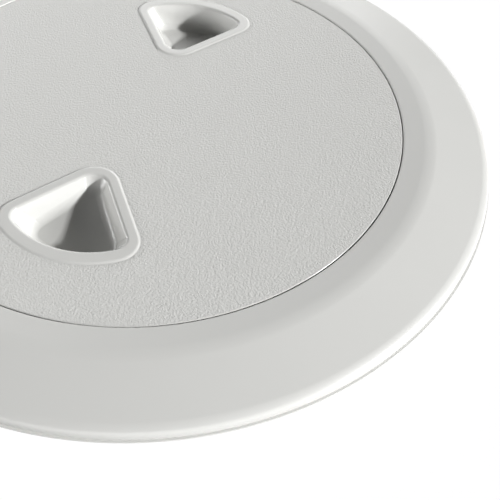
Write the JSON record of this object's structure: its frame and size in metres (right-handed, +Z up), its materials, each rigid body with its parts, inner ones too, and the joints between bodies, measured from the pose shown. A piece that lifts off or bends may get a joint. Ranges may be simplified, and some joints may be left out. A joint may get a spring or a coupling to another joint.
{
  "type": "deck inspection plate",
  "caption": "Round screw-out deck inspection plate: flush lid with two raised-lip finger pockets, clip-on trim ring over a flanged base with a threaded collar.",
  "frame": {"origin": "on the plate's axis, in the plane of the deck that the flange lies on", "axes": "+Z up out of the deck along the plate's axis, the lid's two finger pockets on the Y axis"},
  "size_m": [0.2024, 0.2024, 0.0354],
  "materials": {
    "moulded_plastic": "satin, fine pebble grain on the lid's face",
    "seal_rubber": "matte"
  },
  "bodies": {
    "frame": {"base_ring": "moulded_plastic", "trim_ring": "moulded_plastic"},
    "seal": {"lid_seal": "seal_rubber"},
    "lid": {"lid": "moulded_plastic"}
  },
  "joints": [
    {"name": "lid_lift", "type": "slide", "parent": "frame", "child": "seal", "axis": [0, 0, 1], "range_m": [0, 0.01351]},
    {"name": "lid_turn", "type": "hinge", "parent": "seal", "child": "lid", "pos_m": [0, 0, 0], "axis": [0, 0, 1], "range_deg": [0, 810]}
  ],
  "couplings": [
    {"joint": "lid_lift", "follows": "lid_turn", "m_per_rad": 0.00095493}
  ]
}
